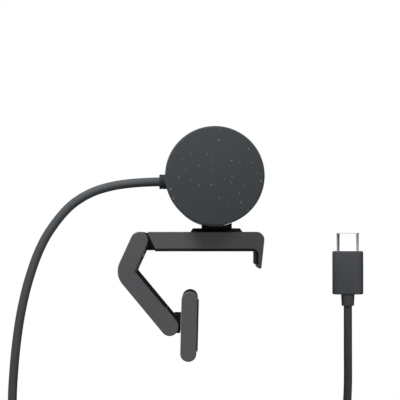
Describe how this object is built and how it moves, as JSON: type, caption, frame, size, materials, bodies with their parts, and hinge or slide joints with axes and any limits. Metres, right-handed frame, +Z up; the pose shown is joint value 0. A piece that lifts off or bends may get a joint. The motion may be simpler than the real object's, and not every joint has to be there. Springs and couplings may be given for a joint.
{
  "type": "webcam on monitor clip",
  "caption": "Barrel webcam on a swivel and folding monitor clip, with a turning privacy shutter and a USB-C cord coiled below it.",
  "frame": {"origin": "on the underside of the clip's pad, the flat that sits on the monitor's top edge, straight below the swivel's pivot and midway across the clip", "axes": "+X the way the lens looks, +Y along the camera barrel towards the shutter knob, +Z up"},
  "size_m": [0.1265, 0.11, 0.2016],
  "materials": {
    "speckled_plastic": "matte moulded plastic with sparse light flecks",
    "shell_plastic": "fine matte texture",
    "arm_plastic": "satin",
    "black_plastic": "satin",
    "rubber": "soft matte",
    "gloss_black": "gloss",
    "glass": "polished",
    "steel": "bright",
    "aluminium": "satin",
    "circuit_board": "solder mask",
    "chip": "matte",
    "light_pipe": "clear",
    "cord_sheath": "matte",
    "plug_steel": "bright nickel"
  },
  "bodies": {
    "clip": {"clip_bar": "arm_plastic", "clip_pad": "rubber", "hinge_bracket": "black_plastic", "spring_washer": "steel"},
    "swivel": {"swivel_disc": "black_plastic", "saddle": "black_plastic", "pivot_bolt": "steel", "tilt_magnet_near": "steel", "tilt_magnet_far": "steel", "cord_lead": "cord_sheath", "cord_coil": "cord_sheath", "coil_tie": "rubber", "cord_tail": "cord_sheath", "plug_relief": "cord_sheath", "plug_grip": "cord_sheath", "plug_shell": "plug_steel", "plug_contacts": "black_plastic"},
    "camera": {"rear_housing": "shell_plastic", "front_housing": "shell_plastic", "end_cap": "speckled_plastic", "front_window": "gloss_black", "lens_cover": "glass", "lens_barrel": "black_plastic", "front_lens": "glass", "lens_holder": "black_plastic", "sensor_board": "circuit_board", "image_sensor": "chip", "status_light": "light_pipe", "microphone_near": "steel", "microphone_far": "steel", "inner_chassis": "black_plastic", "main_board": "circuit_board", "board_screw_near": "steel", "board_screw_far": "steel", "processor": "chip", "heat_spreader": "aluminium", "board_socket": "black_plastic", "cable_anchor": "steel", "strain_relief": "cord_sheath", "keeper_plate": "steel", "knob_bulkhead": "black_plastic", "detent_washer": "steel", "knob_retainer": "steel"},
    "shutter": {"shutter_knob": "shell_plastic", "knob_cap": "speckled_plastic", "shutter_blade": "black_plastic"},
    "arm": {"clip_arm": "arm_plastic", "arm_inlay": "black_plastic", "arm_pin": "steel", "foot_pin": "steel", "arm_washer_near": "steel", "arm_washer_far": "steel", "foot_washer_near": "steel", "foot_washer_far": "steel"},
    "foot": {"foot_block": "arm_plastic", "foot_pad": "rubber", "foot_lug": "black_plastic"}
  },
  "joints": [
    {"name": "pan", "type": "hinge", "parent": "clip", "child": "swivel", "pos_m": [0, 0, 0.0066], "axis": [0, 0, 1], "range_deg": [-30, 30]},
    {"name": "tilt", "type": "hinge", "parent": "swivel", "child": "camera", "pos_m": [-0.00092, 0, 0.02428], "axis": [0, 1, 0], "range_deg": [-20, 60]},
    {"name": "shutter_turn", "type": "hinge", "parent": "camera", "child": "shutter", "pos_m": [-0.00092, 0.05, 0.02428], "axis": [0, 1, 0], "range_deg": [0, 75]},
    {"name": "arm_fold", "type": "hinge", "parent": "clip", "child": "arm", "pos_m": [-0.0261, 0, 0.0036], "axis": [0, 1, 0], "range_deg": [-25, 60]},
    {"name": "foot_turn", "type": "hinge", "parent": "arm", "child": "foot", "pos_m": [-0.01588, 0, -0.02549], "axis": [0, 1, 0], "range_deg": [-35, 35]}
  ]
}
